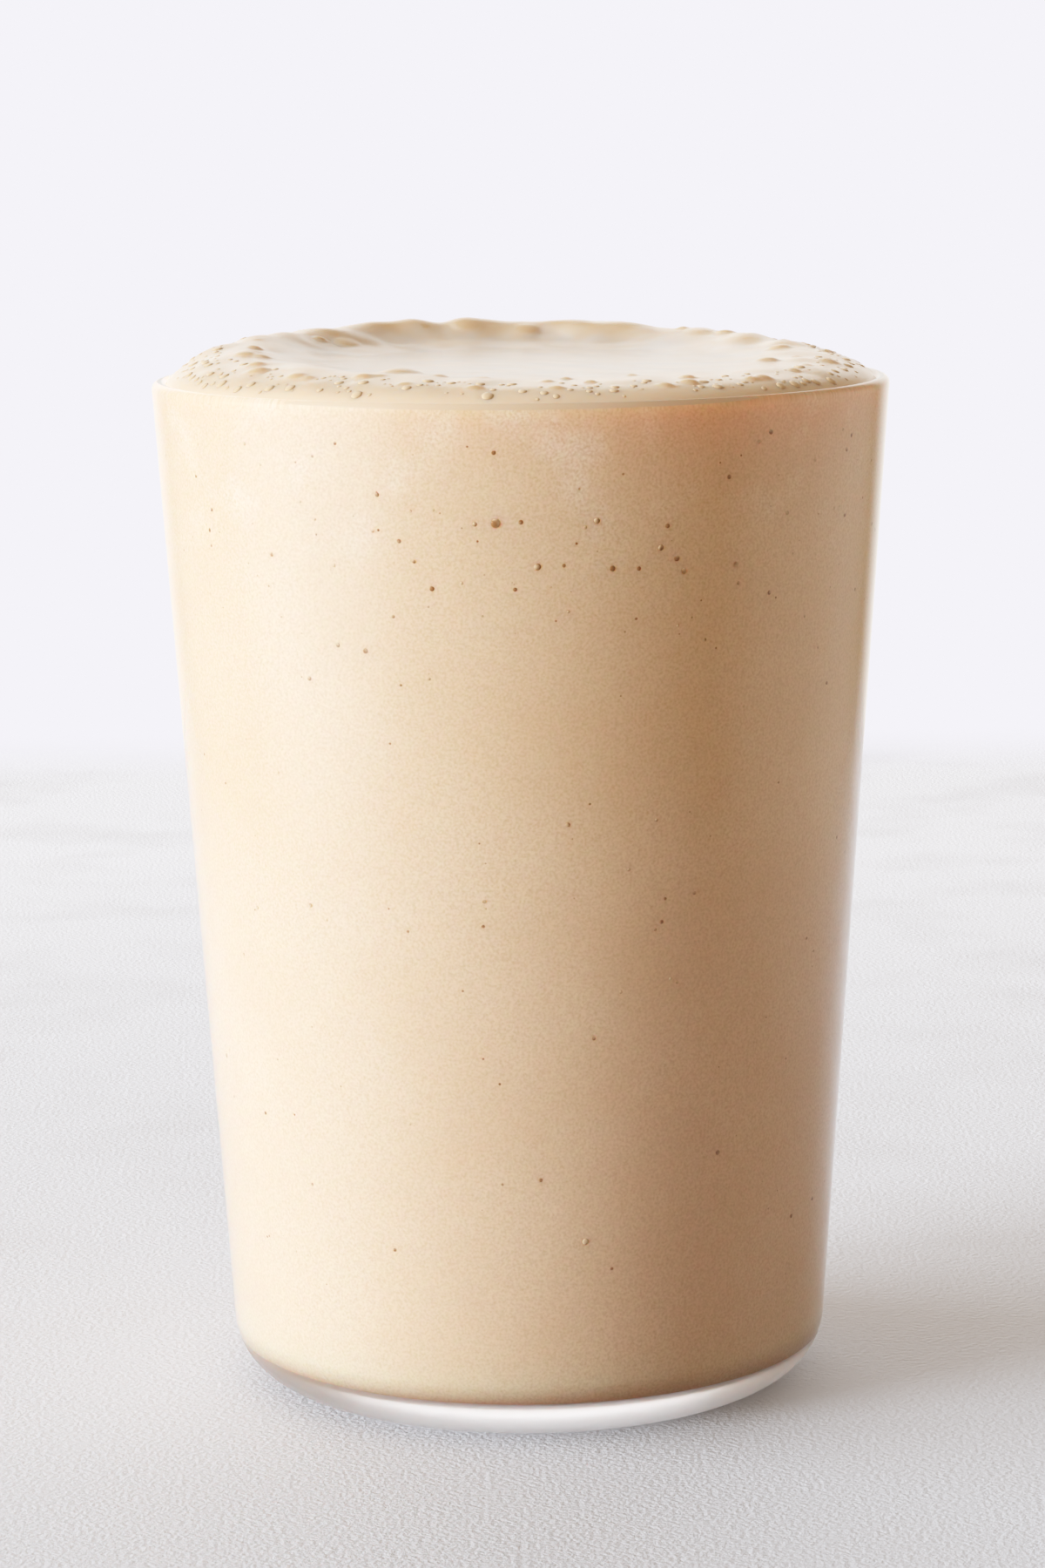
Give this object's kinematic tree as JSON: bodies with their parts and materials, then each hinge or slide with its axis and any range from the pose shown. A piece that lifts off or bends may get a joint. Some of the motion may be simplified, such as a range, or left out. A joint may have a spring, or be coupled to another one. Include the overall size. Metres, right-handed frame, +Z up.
{
  "type": "glass of blended iced coffee",
  "caption": "Tapered clear glass tumbler with a rounded heel, brim full of pale tan blended iced coffee under a low, bubbly froth cap that stands just above the rim.",
  "frame": {"origin": "middle of the tumbler's foot, on the surface it stands on", "axes": "+Z up along the tumbler's axis, -Y towards the viewer of the picture, +X to that viewer's right"},
  "size_m": [0.0878, 0.0878, 0.1269],
  "materials": {
    "clear_glass": "polished",
    "coffee": "smooth and milky",
    "froth": "wet and bubbly"
  },
  "bodies": {
    "root": {"glass_tumbler": "clear_glass", "blended_coffee": "coffee", "froth_cap": "froth"}
  },
  "joints": []
}
